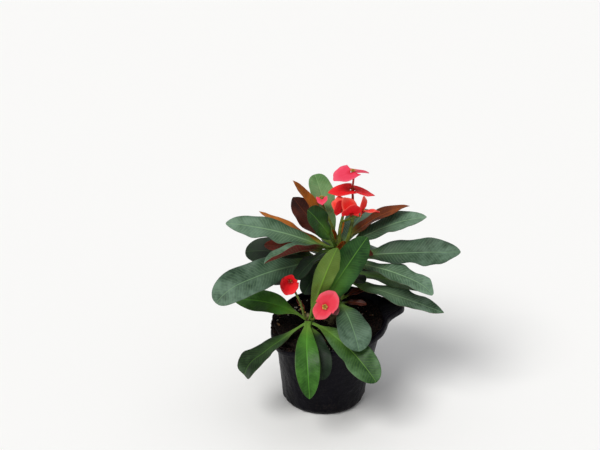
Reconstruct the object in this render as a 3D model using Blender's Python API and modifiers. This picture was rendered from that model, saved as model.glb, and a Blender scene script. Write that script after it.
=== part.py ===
"""A crown-of-thorns plant (Euphorbia milii) in a soft black grow bag.

Metres, +Z up.  The origin is the middle of the bag's flat base, and -Y is the plant's best side.
Lengths in the constants and tables are millimetres, angles are degrees; MM turns them into metres.
Headings are compass angles about +Z: 0 is +X, 90 is +Y, -90 is -Y.
"""
import math
from collections import namedtuple

import bmesh
import bpy
from mathutils import Matrix, Vector

MM = 0.001
GAP = 0.4                       # clearance between touching pieces

# ---------------------------------------------------------------- bag
BAG_FILM = 0.8                  # wall of the solid; the real film is thinner
BAG_SIDES = 40
BAG_BASE_RADIUS = 46.0          # flat part of the base
BAG_HEIGHT = 108.0              # mean height of the rim
BAG_RIM_TILT = 8.0              # the rim is this much higher on one side than the mean
BAG_RIM_TILT_HEADING = 35.0
BAG_LEAN = 8.0                  # the mouth sits this far towards +X
# Radius of the wall at rising fractions of the height, from the rounded base corner to the rim.
BAG_WALL = [(0.015, 49.0), (0.05, 51.5), (0.25, 54.5), (0.5, 58.5), (0.75, 62.5), (0.9, 65.5), (1.0, 68.5)]
# The cuff is rolled outwards past the rim: steps out and down from the top edge.
BAG_CUFF = [(2.0, 1.0), (3.6, -1.5), (3.8, -5.5)]
BAG_EAR_HEADING = 12.0          # a loose corner of film sticks out here
BAG_EAR_REACH = 20.0
BAG_EAR_SPREAD = 13.0
BAG_EAR_FOOT = 0.94             # level at which the ear starts to leave the wall
BAG_CREASES = [(3, 5.0, 0.9), (7, 0.0, 0.5)]    # (waves round the wall, slant, depth)

# ---------------------------------------------------------------- potting mix
SOIL_FLOOR = 1.6
SOIL_BASE_INSET = 3.0
SOIL_LEVEL = 0.93               # top of the mix at the wall, as a fraction of the bag's height
SOIL_CROWN = 4.5                # the middle stands this much higher
SOIL_RINGS = 5
SOIL_LUMPS = [(3, 6.0, 1.3), (5, -9.0, 0.9)]    # (waves round the top, slant, height)

# ---------------------------------------------------------------- stem
# A shoot is a list of (x, y, z, radius) from the roots upwards.
SHOOTS = {
    "main": [(3, 6, 66, 7.5), (4, 5, 96, 7.2), (8, 3, 134, 6.4), (12, 1, 172, 5.8), (16, 0, 214, 4.8)],
    "right": [(4, 5, 84, 3.6), (9, -8, 104, 4.4), (13, -17, 128, 4.4), (16, -21, 148, 3.8)],
    "front": [(4, 5, 74, 3.6), (-8, -15, 92, 4.2), (-17, -27, 108, 4.2), (-20, -30, 128, 3.8)],
}
STEM_SIDES = 10
THORNS = 12
THORN_LENGTH = 9.0
THORN_RADIUS = 1.1
THORN_POINT = 0.15
THORN_RISE = 12                 # degrees above the horizontal
THORN_START = 112               # height of the lowest
THORN_SPACING = 4.2
GOLDEN_ANGLE = 137.5            # turn from one thorn to the next

# ---------------------------------------------------------------- leaves
# heading, rise and reach are the chord from the stem to the tip; arch bends the midrib down towards
# the tip and sway turns it sideways; roll turns the blade about its midrib, past the leaf stalk; fold
# lifts both halves into a V; wave is the height of the ripples along the margin; curl bends the last part
# further down; blunt is small for a round tip and stalk is the half-width at the foot.
Leaf = namedtuple("Leaf", "shoot height heading rise reach width arch sway roll fold wave ripples "
                          "curl blunt stalk", defaults=(0, 0, 0, 8, 1.5, 2.5, 0, 0.56, 2.0))
LEAF_THICKNESS = 0.8
LEAF_GAP = 1.0                  # between a leaf stalk and the shoot it grows from
LEAF_TIP = 1.6                  # half-width kept at the very tip
LEAF_WIDEST = 0.66              # share of the length at which the blade is widest
LEAF_TAPER = 1.35               # how fast it narrows towards the stalk
LEAF_CURL_START = 0.72          # share of the length past which the curl bends the blade
LEAF_TWIST_END = 0.35           # the roll is complete at this share of the length
LEAF_STEPS = 10
LEAVES = {
    # crown, from the youngest leaves at the top downwards
    "leaf_crown_01": Leaf("main", 209, 186, 59, 95, 20, 6, 0, 25, 20, blunt=0.9),
    "leaf_crown_02": Leaf("main", 206, 128, 62, 85, 32, 10, 0, 0, 10, blunt=0.42, stalk=2.6),
    "leaf_crown_03": Leaf("main", 205, -135, 53, 78, 29, 14, -10, 75, 10, stalk=3.6),
    "leaf_crown_04": Leaf("main", 202, 142, 37, 78, 40, -8, 0, 8, 10, blunt=0.8),
    "leaf_crown_05": Leaf("main", 204, 11, 29, 93, 24, 44, 0, 0, 10, blunt=0.95),
    "leaf_crown_06": Leaf("main", 196, 4, 23, 109, 32, 36, 0, -16, 10, 2.0, blunt=0.75, stalk=3.0),
    "leaf_crown_07": Leaf("main", 197, 184, 18, 132, 28, 24, 0, 40, 8, 2.0, 3.0, blunt=0.66, stalk=3.2),
    "leaf_crown_08": Leaf("main", 200, 160, 20, 100, 22, -10, 0, -5, blunt=0.9),
    "leaf_crown_09": Leaf("main", 203, -146, 4, 98, 30, 26, 0, -18, 38, blunt=0.8),
    "leaf_crown_10": Leaf("main", 190, -12, 8.5, 142, 38, 6, 0, -30, 8, 2.4, 3.0, blunt=0.66, stalk=3.0),
    "leaf_crown_11": Leaf("main", 186, -154, -5, 154, 39, 30, 0, 35, 8, 3.0, 3.0, curl=24, blunt=0.46),
    "leaf_crown_12": Leaf("main", 184, -28, -4, 122, 25, 30, 0, -20, 8, 3.6, 3.5, curl=20),
    "leaf_crown_13": Leaf("main", 190, -134, -30, 60, 28, 50, 0, 52),
    "leaf_crown_14": Leaf("main", 178, 163, 1, 108, 36, 30, 0, 40),
    "leaf_crown_15": Leaf("main", 170, -6, -10, 102, 28, 16, 0, -10),
    "leaf_crown_16": Leaf("main", 160, -20, -9, 132, 27, 10, 0, -15, 8, 2.8, 3.0, blunt=0.8),
    "leaf_crown_17": Leaf("main", 201, -134, -14, 66, 32, 60, 0, -20),
    "leaf_crown_18": Leaf("main", 178, 48, -14, 110, 34, 40),
    "leaf_crown_19": Leaf("main", 172, 88, -8, 114, 36, 40),
    "leaf_crown_20": Leaf("main", 180, 124, -10, 112, 34, 30),
    # right-hand shoot
    "leaf_right_01": Leaf("right", 143, -72, -22, 76, 40, 55, blunt=0.6, stalk=2.8),
    # front shoot
    "leaf_front_01": Leaf("front", 124, -40, 70, 113, 25, 10, 0, 50, 6, blunt=0.72, stalk=3.8),
    "leaf_front_02": Leaf("front", 122, 176, 15, 88, 30, 45, 0, 35, blunt=0.75),
    "leaf_front_03": Leaf("front", 118, -151, -24, 98, 32, 8, curl=40, blunt=0.22),
    "leaf_front_04": Leaf("front", 121, -88, -32, 100, 29, 85, 16, blunt=0.74, stalk=4.2),
    "leaf_front_05": Leaf("front", 119, -46, -18, 112, 36, 45, 0, -25, blunt=0.52, stalk=3.0),
    "leaf_front_06": Leaf("front", 115, -78, -26, 76, 27, 80),
    "leaf_front_07": Leaf("front", 120, -8, 61, 131, 35, 4, 0, -74, 6, 1.5, 2.0, blunt=0.6, stalk=4.6),
}

# ---------------------------------------------------------------- flower stalks
# Each stalk is the radius of its foot, then its main run of (x, y, z) points and the runs that fork off it.
STALK_TOP_RADIUS = 1.2          # under the flower
STALK_SIDES = 6
STALKS = {
    "stalk_tall": (3.0, [[(23, -5, 206), (28, -7, 222), (32, -5, 244), (32, 6, 262), (32, 11, 267)],
                         [(32, 2, 256), (32, 13, 262), (32, 18, 271), (33, 20, 281), (32, 17, 288)]]),
    "stalk_cluster": (2.9, [[(17, -9, 210), (17, -9, 230), (20, -10, 247), (21, -11, 251)],
                            [(18, -9, 240), (25, -18, 247), (29, -23, 253)],
                            [(18, -9, 240), (31, -13, 246), (42, -14, 251)]]),
    "stalk_back": (1.8, [[(14, 1, 216), (6, 4, 234), (-4, 8, 257)]]),
    "stalk_left": (1.5, [[(-24, -35, 128), (-29, -34, 147), (-38, -29, 165)]]),
    "stalk_front": (1.6, [[(-13.5, -38, 127), (-8, -46, 138), (-2, -55, 150)]]),
}

# ---------------------------------------------------------------- flowers
# facing is (heading, rise) of the flower's axis, and turn rotates its two bracts about that axis.
# sizes are how far the bracts reach, droops how far they bend back from the flower's own plane, and
# twists how far each is turned about its own length.
Flower = namedtuple("Flower", "centre facing turn sizes droops twists", defaults=((0, 0),))
BRACT_THICKNESS = 0.6
BRACT_SPREAD = 84.0             # half-angle of the fan that a bract fills
BRACT_START = 0.12              # share of the reach at which the fan starts
BRACT_LIFT = 1.6                # its two lobes curl up this much
CUP_RADIUS = 2.4
CUP_HEIGHT = 4.0
FLOWERS = {
    "flower_top": Flower((32, 17, 292), (-90, 88), -30, (23, 19), (13, 14), (-2, 10)),
    "flower_upper": Flower((32, 12, 271), (-90, 88), -8, (25, 24), (5, 18), (4, 8)),
    "flower_cluster_left": Flower((20, -12, 255), (180, 70), 0, (15, 15), (-52, -66), (20, -20)),
    "flower_cluster_middle": Flower((29, -24, 256), (-90, 72), 75, (18, 17), (-58, -74), (35, 0)),
    "flower_cluster_right": Flower((43, -14, 255), (0, 60), -80, (17, 15), (-32, -58), (-15, 30)),
    "flower_back": Flower((-4, 8, 262), (95, 50), 90, (12, 9), (60, 0)),
    "flower_left": Flower((-40, -28, 173), (-100, 30), 104, (12, 15.5), (-60, 0)),
    "flower_front": Flower((-1, -58, 155), (-85, 22), 128, (18.5, 15), (5, 5)),
}

COLOURS = {
    "grow_bag": (0.012, 0.012, 0.014),
    "potting_mix": (0.010, 0.007, 0.005),
    "stem": (0.16, 0.13, 0.08),
    "leaf": (0.05, 0.13, 0.06),
    "stalk": (0.10, 0.16, 0.04),
    "bract": (0.75, 0.03, 0.05),
    "cup": (0.60, 0.25, 0.05),
}


def direction(heading, rise):
    """Unit vector for a compass heading and an angle above the horizontal."""
    h = math.radians(heading)
    r = math.radians(rise)
    return Vector((math.cos(r) * math.cos(h), math.cos(r) * math.sin(h), math.sin(r)))


def blend(table, position):
    """Linear reading of a table of (position, value) pairs."""
    for (p0, v0), (p1, v1) in zip(table, table[1:]):
        if position <= p1:
            return v0 + (v1 - v0) * (position - p0) / (p1 - p0)
    return table[-1][1]


# ---------------------------------------------------------------- scene helpers
def clear_scene():
    for item in list(bpy.data.objects):
        bpy.data.objects.remove(item, do_unlink=True)


def make_collection(name):
    collection = bpy.data.collections.new(name)
    bpy.context.scene.collection.children.link(collection)
    return collection


def material(name, roughness):
    found = bpy.data.materials.get(name)
    if found:
        return found
    made = bpy.data.materials.new(name)
    made.use_nodes = True
    shader = made.node_tree.nodes["Principled BSDF"]
    shader.inputs["Base Color"].default_value = (*COLOURS[name], 1.0)
    shader.inputs["Roughness"].default_value = roughness
    shader.inputs["Metallic"].default_value = 0.0
    return made


def add_object(name, mesh, collection, surface=None):
    item = bpy.data.objects.new(name, mesh)
    collection.objects.link(item)
    if surface:
        mesh.materials.append(surface)
    return item


def mesh_from(bm, name):
    mesh = bpy.data.meshes.new(name)
    bm.to_mesh(mesh)
    bm.free()
    return mesh


def thicken(item, thickness, offset=0.0):
    shell = item.modifiers.new("thickness", "SOLIDIFY")
    shell.thickness = thickness * MM
    shell.offset = offset
    shell.use_even_offset = False


def hide_tool(item):
    item.hide_render = True
    item.display_type = "WIRE"


def boolean(item, tool, operation):
    step = item.modifiers.new(operation.lower(), "BOOLEAN")
    step.object = tool
    step.operation = operation
    step.solver = "EXACT"


# ---------------------------------------------------------------- bag and potting mix
def rim_height(heading):
    return BAG_HEIGHT + BAG_RIM_TILT * math.cos(math.radians(heading - BAG_RIM_TILT_HEADING))


def wall_point(level, heading, inset=0.0, step_out=0.0, step_up=0.0):
    """Point on the bag's outer wall, stepped in, out or up from it: level 0 is the base and 1 the rim."""
    h = math.radians(heading)
    away = (heading - BAG_EAR_HEADING + 180.0) % 360.0 - 180.0
    ear_rise = max(0.0, level - BAG_EAR_FOOT) / (1.0 - BAG_EAR_FOOT)
    ear = BAG_EAR_REACH * math.exp(-(away / BAG_EAR_SPREAD) ** 2) * ear_rise
    creases = level * sum(depth * math.sin(waves * h + slant * level) for waves, slant, depth in BAG_CREASES)
    radius = blend([(0.0, BAG_BASE_RADIUS)] + BAG_WALL, level) + ear + creases - inset + step_out
    height = rim_height(heading) * level + step_up
    lean = BAG_LEAN * level ** 2
    return Vector((lean + radius * math.cos(h), radius * math.sin(h), height)) * MM


def ring_headings():
    return [360.0 * i / BAG_SIDES for i in range(BAG_SIDES)]


def start_disc(bm, radius, height):
    """A flat fan of triangles; returns its rim vertices in order."""
    made = bmesh.ops.create_circle(bm, cap_ends=True, cap_tris=True, segments=BAG_SIDES, radius=radius * MM)
    for vertex in made["verts"]:
        vertex.co.z = height * MM
    rim = [v for v in made["verts"] if len(v.link_edges) == 3]
    return sorted(rim, key=lambda v: math.atan2(v.co.y, v.co.x) % (2 * math.pi))


def grow_ring(bm, rim, places):
    """Extrudes the open edge of a disc or wall to the given places, in the same order."""
    edges = [bm.edges.get((a, b)) for a, b in zip(rim, rim[1:] + rim[:1])]
    made = bmesh.ops.extrude_edge_only(bm, edges=edges)["geom"]
    fresh = {v for v in made if isinstance(v, bmesh.types.BMVert)}
    grown = [next(e.other_vert(v) for e in v.link_edges if e.other_vert(v) in fresh) for v in rim]
    for vertex, place in zip(grown, places):
        vertex.co = place
    return grown


def make_bag(collection):
    bm = bmesh.new()
    rim = start_disc(bm, BAG_BASE_RADIUS, 0.0)
    for level, _ in BAG_WALL:
        rim = grow_ring(bm, rim, [wall_point(level, h) for h in ring_headings()])
    for out, up in BAG_CUFF:
        rim = grow_ring(bm, rim, [wall_point(1.0, h, 0.0, out, up) for h in ring_headings()])
    bmesh.ops.recalc_face_normals(bm, faces=bm.faces)
    bmesh.ops.reverse_faces(bm, faces=bm.faces)
    bag = add_object("grow_bag", mesh_from(bm, "grow_bag"), collection, material("grow_bag", 0.4))
    thicken(bag, BAG_FILM, -1.0)
    bag.data.shade_smooth()
    return bag


def soil_top(heading, share):
    """Point on top of the potting mix: share 1 is at the wall and 0 the middle."""
    edge = wall_point(SOIL_LEVEL, heading, BAG_FILM + 3 * GAP)
    middle = Vector((BAG_LEAN, 0.0, BAG_HEIGHT * SOIL_LEVEL + SOIL_CROWN)) * MM
    place = middle.lerp(edge, share)
    h = math.radians(heading)
    lump = sum(height * math.sin(waves * h + slant * share) for waves, slant, height in SOIL_LUMPS)
    place.z += lump * share * (1.0 - share / 2) * MM
    return place


def make_soil(collection, tools):
    bm = bmesh.new()
    rim = start_disc(bm, BAG_BASE_RADIUS - SOIL_BASE_INSET, SOIL_FLOOR)
    levels = [level for level, _ in BAG_WALL[1:] if level < SOIL_LEVEL]
    for level in levels:
        rim = grow_ring(bm, rim, [wall_point(level, h, BAG_FILM + 2 * GAP) for h in ring_headings()])
    for ring in range(SOIL_RINGS):
        share = 1.0 - ring / SOIL_RINGS
        rim = grow_ring(bm, rim, [soil_top(h, share) for h in ring_headings()])
    last_ring = [bm.edges.get((a, b)) for a, b in zip(rim, rim[1:] + rim[:1])]
    bmesh.ops.contextual_create(bm, geom=last_ring)
    bmesh.ops.recalc_face_normals(bm, faces=bm.faces)
    soil = add_object("potting_mix", mesh_from(bm, "potting_mix"), collection, material("potting_mix", 0.95))
    for name, shoot in SHOOTS.items():
        drop = GAP if name == "main" else 0.0
        tool = tube("socket_" + name, [(x, y, z - drop, r + GAP) for x, y, z, r in shoot], tools)
        hide_tool(tool)
        boolean(soil, tool, "DIFFERENCE")
    return soil


# ---------------------------------------------------------------- stem
def tube(name, points, collection, sides=STEM_SIDES):
    """A capped tube through (x, y, z, radius) points, as a mesh."""
    curve = bpy.data.curves.new(name, "CURVE")
    curve.dimensions = "3D"
    curve.bevel_depth = MM
    curve.bevel_resolution = sides // 2 - 2
    curve.use_fill_caps = True
    spline = curve.splines.new("POLY")
    smooth = smooth_path(points)
    spline.points.add(len(smooth) - 1)
    for point, (x, y, z, radius) in zip(spline.points, smooth):
        point.co = (x * MM, y * MM, z * MM, 1.0)
        point.radius = radius
    holder = bpy.data.objects.new(name, curve)
    collection.objects.link(holder)
    bpy.context.view_layer.update()
    depsgraph = bpy.context.evaluated_depsgraph_get()
    mesh = bpy.data.meshes.new_from_object(holder.evaluated_get(depsgraph))
    bpy.data.objects.remove(holder)
    bpy.data.curves.remove(curve)
    bm = bmesh.new()
    bm.from_mesh(mesh)
    bmesh.ops.remove_doubles(bm, verts=bm.verts, dist=0.00001)
    bmesh.ops.recalc_face_normals(bm, faces=bm.faces)
    bm.to_mesh(mesh)
    bm.free()
    mesh.name = name
    mesh.shade_smooth()
    return add_object(name, mesh, collection)


def smooth_path(points, steps=3):
    """Catmull-Rom reading of a short list of points, with any number of values in each."""
    if len(points) < 3:
        return points
    ends = [points[0]] + list(points) + [points[-1]]
    path = []
    for i in range(len(points) - 1):
        p0, p1, p2, p3 = ends[i:i + 4]
        for k in range(steps):
            t = k / steps
            path.append(tuple(
                b + 0.5 * t * ((c - a) + t * ((2 * a - 5 * b + 4 * c - d) + t * (3 * b - a - 3 * c + d)))
                for a, b, c, d in zip(p0, p1, p2, p3)))
    path.append(points[-1])
    return path


def shoot_at(shoot, height):
    """Centre line and radius of a shoot at a height."""
    points = smooth_path(SHOOTS[shoot])
    for low, high in zip(points, points[1:]):
        if low[2] <= height <= high[2]:
            t = (height - low[2]) / (high[2] - low[2])
            x, y, z, radius = (a + (b - a) * t for a, b in zip(low, high))
            return Vector((x, y, z)), radius
    raise ValueError("no %s shoot at height %s" % (shoot, height))


def make_thorns(tools):
    """Thorns in a spiral around the bare lower part of the main shoot."""
    bm = bmesh.new()
    for i in range(THORNS):
        centre, radius = shoot_at("main", THORN_START + THORN_SPACING * i)
        outward = direction(GOLDEN_ANGLE * i, THORN_RISE)
        place = centre + outward * (radius - THORN_RADIUS + THORN_LENGTH / 2)
        turn = Vector((0, 0, 1)).rotation_difference(outward).to_matrix().to_4x4()
        bmesh.ops.create_cone(bm, cap_ends=True, cap_tris=True, segments=6, radius1=THORN_RADIUS * MM,
                              radius2=THORN_POINT * MM, depth=THORN_LENGTH * MM,
                              matrix=Matrix.Translation(place * MM) @ turn)
    return add_object("thorns", mesh_from(bm, "thorns"), tools)


def make_stem(collection, tools):
    stem = tube("stem", SHOOTS["main"], collection)
    stem.data.materials.append(material("stem", 0.7))
    branches = [tube("branch_" + name, SHOOTS[name], tools) for name in ("right", "front")]
    for tool in branches + [make_thorns(tools)]:
        hide_tool(tool)
        boolean(stem, tool, "UNION")
    return stem


# ---------------------------------------------------------------- leaves
def midrib(leaf, steps):
    """Points along a leaf's midrib and its direction at each, base to tip."""
    centre, radius = shoot_at(leaf.shoot, leaf.height)
    half_bend = math.radians(leaf.arch) / 2
    length = leaf.reach * (half_bend / math.sin(half_bend) if half_bend else 1.0)
    place = centre + direction(leaf.heading - leaf.sway / 2, 0) * (radius + LEAF_GAP)

    def heading_at(u):
        curled = min(1.0, max(0.0, (u - LEAF_CURL_START) / (1 - LEAF_CURL_START)))
        pitch = leaf.rise - leaf.arch * (u - 0.5) - leaf.curl * curled ** 2 * (3 - 2 * curled)
        return direction(leaf.heading + leaf.sway * (u - 0.5), pitch)

    points = []
    for i in range(steps + 1):
        u = i / steps
        points.append((u, place.copy(), heading_at(u)))
        place = place + heading_at((i + 0.5) / steps) * (length / steps)
    return points


def half_width(leaf, u):
    """Narrow stalk, widest past the middle, blunt tip."""
    towards_stalk = min(u, 1.0) / LEAF_WIDEST
    towards_tip = max(0.0, 1.0 - u) / (1.0 - LEAF_WIDEST)
    shape = towards_stalk ** LEAF_TAPER * towards_tip ** leaf.blunt
    least = leaf.stalk * (1 - 0.5 * u) if u < 0.5 else LEAF_TIP
    return max(least, leaf.width / 2 * shape)


def blade_point(leaf, u, v, place, ahead):
    """Point on the blade: u runs base to tip, v from -1 to 1 across."""
    side = ahead.cross(Vector((0, 0, 1))).normalized()
    normal = side.cross(ahead)
    turn = math.radians(leaf.roll) * min(1.0, u / LEAF_TWIST_END) ** 2
    side, normal = (side * math.cos(turn) + normal * math.sin(turn),
                    normal * math.cos(turn) - side * math.sin(turn))
    lift = math.radians(leaf.fold)
    width = half_width(leaf, u)
    swell = math.sin(math.pi * u) * abs(v) ** 1.5
    ripple = leaf.wave * swell * math.sin(2 * math.pi * leaf.ripples * u + v + leaf.heading)
    return place + side * (v * width * math.cos(lift)) + normal * (abs(v) * width * math.sin(lift) + ripple)


def make_leaf(name, leaf, collection):
    bm = bmesh.new()
    spine = midrib(leaf, LEAF_STEPS)
    made = bmesh.ops.create_grid(bm, x_segments=LEAF_STEPS, y_segments=4, size=1.0)
    for vertex in made["verts"]:
        u, place, ahead = spine[round((vertex.co.x + 1.0) / 2 * LEAF_STEPS)]
        vertex.co = blade_point(leaf, u, vertex.co.y, place, ahead) * MM
    item = add_object(name, mesh_from(bm, name), collection, material("leaf", 0.45))
    thicken(item, LEAF_THICKNESS)
    item.data.shade_smooth()
    return item


# ---------------------------------------------------------------- flowers
def tapered(run, foot_radius):
    """Adds a radius to each point, narrowing towards the flower."""
    step = (STALK_TOP_RADIUS - foot_radius) / (len(run) - 1)
    return [(*point, foot_radius + step * i) for i, point in enumerate(run)]


def make_stalk(name, foot_radius, runs, collection, tools):
    main_run, *forks = runs
    item = tube(name, tapered(main_run, foot_radius), collection, STALK_SIDES)
    item.data.materials.append(material("stalk", 0.5))
    for i, fork in enumerate(forks):
        tool = tube("%s_fork_%d" % (name, i + 1), tapered(fork, STALK_TOP_RADIUS), tools, STALK_SIDES)
        hide_tool(tool)
        boolean(item, tool, "UNION")
    return item


def flower_frame(flower):
    """Matrix with +Z along the flower's axis and +X along its first bract."""
    axis = direction(*flower.facing)
    level = axis.cross(Vector((0, 0, 1))).normalized()
    upright = level.cross(axis)
    turn = math.radians(flower.turn)
    across = level * math.cos(turn) + upright * math.sin(turn)
    frame = Matrix((across, axis.cross(across), axis)).transposed().to_4x4()
    return Matrix.Translation(Vector(flower.centre) * MM) @ frame


def make_bract(name, flower, side, size, droop, twist, collection):
    """One of the pair: a fan-shaped shell that starts beside the cup."""
    bm = bmesh.new()
    made = bmesh.ops.create_grid(bm, x_segments=2, y_segments=6, size=1.0)
    for vertex in made["verts"]:
        share = BRACT_START + (1.0 - BRACT_START) * (vertex.co.x + 1.0) / 2
        angle = math.radians(BRACT_SPREAD) * vertex.co.y
        radius = size * share * (0.82 + 0.18 * math.cos(2 * angle) + 0.10 * math.cos(angle))
        along = radius * math.cos(angle)
        across = side * radius * math.sin(angle)
        sag = math.radians(droop)
        turn = math.radians(twist)
        x = CUP_RADIUS + GAP + along * math.cos(sag)
        lift = BRACT_LIFT * share ** 2 * abs(math.sin(angle))
        z = lift - along * math.sin(sag) + across * math.sin(turn)
        vertex.co = Vector((side * x, across * math.cos(turn), z)) * MM
    item = add_object(name, mesh_from(bm, name), collection, material("bract", 0.45))
    item.matrix_world = flower_frame(flower)
    thicken(item, BRACT_THICKNESS)
    item.data.shade_smooth()
    return item


def make_cup(name, flower, collection):
    """The small true flower: a cup that stands on its stalk between the bracts."""
    bm = bmesh.new()
    bmesh.ops.create_cone(bm, cap_ends=True, cap_tris=True, segments=10, radius1=CUP_RADIUS * 0.6 * MM,
                          radius2=CUP_RADIUS * MM, depth=CUP_HEIGHT * MM)
    item = add_object(name, mesh_from(bm, name), collection, material("cup", 0.4))
    item.matrix_world = flower_frame(flower)
    item.data.shade_smooth()
    return item


def make_flower(name, flower, collection):
    for i, side in enumerate((1, -1)):
        bract = "%s_bract_%d" % (name, i + 1)
        make_bract(bract, flower, side, flower.sizes[i], flower.droops[i], flower.twists[i], collection)
    make_cup(name + "_cup", flower, collection)


def main():
    clear_scene()
    plant = make_collection("potted_euphorbia")
    tools = make_collection("tools")
    make_bag(plant)
    make_soil(plant, tools)
    make_stem(plant, tools)
    for name, leaf in LEAVES.items():
        make_leaf(name, leaf, plant)
    for name, (foot_radius, runs) in STALKS.items():
        make_stalk(name, foot_radius, runs, plant, tools)
    for name, flower in FLOWERS.items():
        make_flower(name, flower, plant)


main()
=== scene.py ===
import random
from collections import namedtuple
from math import atan2, cos, exp, pi, radians, sin, sqrt

import bmesh
import bpy
from mathutils import Matrix, Vector, noise


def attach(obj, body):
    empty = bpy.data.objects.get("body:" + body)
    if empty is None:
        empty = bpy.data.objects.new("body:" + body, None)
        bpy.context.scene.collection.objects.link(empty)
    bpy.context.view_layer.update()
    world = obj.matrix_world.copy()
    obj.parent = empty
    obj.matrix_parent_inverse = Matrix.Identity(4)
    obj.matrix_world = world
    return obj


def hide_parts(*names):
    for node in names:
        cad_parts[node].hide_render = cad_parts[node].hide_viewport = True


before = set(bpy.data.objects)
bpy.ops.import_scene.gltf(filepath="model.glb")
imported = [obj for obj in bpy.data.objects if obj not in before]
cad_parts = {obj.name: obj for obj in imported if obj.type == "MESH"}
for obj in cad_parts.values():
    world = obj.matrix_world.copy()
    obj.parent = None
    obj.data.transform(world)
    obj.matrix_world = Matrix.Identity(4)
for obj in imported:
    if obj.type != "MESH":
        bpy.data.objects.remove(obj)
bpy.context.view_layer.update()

MM = 0.001
WELD = 0.0005  # points this close are the same
UP = Vector((0, 0, 1))
dice = random.Random(41)

# -------- sizes shared with the solids
BAG_HEIGHT = 108.0
BAG_RIM_TILT = 8.0
BAG_RIM_TILT_HEADING = 35.0
BAG_LEAN = 8.0
# radius of the wall at shares of the height
BAG_WALL = [(0.0, 46.0), (0.015, 49.0), (0.05, 51.5), (0.25, 54.5), (0.5, 58.5), (0.75, 62.5),
            (0.9, 65.5), (1.0, 68.5)]
BAG_EAR_HEADING = 12.0
BAG_EAR_REACH = 20.0
BAG_EAR_SPREAD = 13.0
BAG_EAR_FOOT = 0.94
BAG_CREASES = [(3, 5.0, 0.9), (7, 0.0, 0.5)]  # (waves round the wall, slant, depth)
SOIL_LEVEL = 0.93
SOIL_CROWN = 4.5
SOIL_LUMPS = [(3, 6.0, 1.3), (5, -9.0, 0.9)]  # (waves round the top, slant, height)

# (x, y, z, radius) along each shoot, from the roots upwards
SHOOTS = {
    "main": [(3, 6, 66, 7.5), (4, 5, 96, 7.2), (8, 3, 134, 6.4), (12, 1, 172, 5.8),
             (16, 0, 214, 4.8)],
    "right": [(4, 5, 84, 3.6), (9, -8, 104, 4.4), (13, -17, 128, 4.4), (16, -21, 148, 3.8)],
    "front": [(4, 5, 74, 3.6), (-8, -15, 92, 4.2), (-17, -27, 108, 4.2), (-20, -30, 128, 3.8)],
}

# tone is the finish. heading, rise and reach are the chord from the stem to the tip; arch bends the
# midrib down towards the tip and sway turns it sideways; roll turns the blade past its stalk; fold
# lifts both halves into a V; wave is the height of the ripples. curl bends the last part of the
# blade further down, blunt is small for a round tip, stalk is the half-width at the foot and glow
# lightens the blade along its rib.
Leaf = namedtuple("Leaf", "shoot tone height heading rise reach width arch roll fold wave ripples "
                          "sway curl blunt stalk glow",
                  defaults=(0, 0, 8, 1.5, 2.5, 0, 0, 0.56, 2.0, 0.3))
LEAF_WIDEST = 0.66  # share of the length at which the blade is widest
LEAF_TAPER = 1.35  # how fast it narrows towards the stalk
LEAF_TWIST_END = 0.35  # the roll is complete at this share of the length
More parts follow.
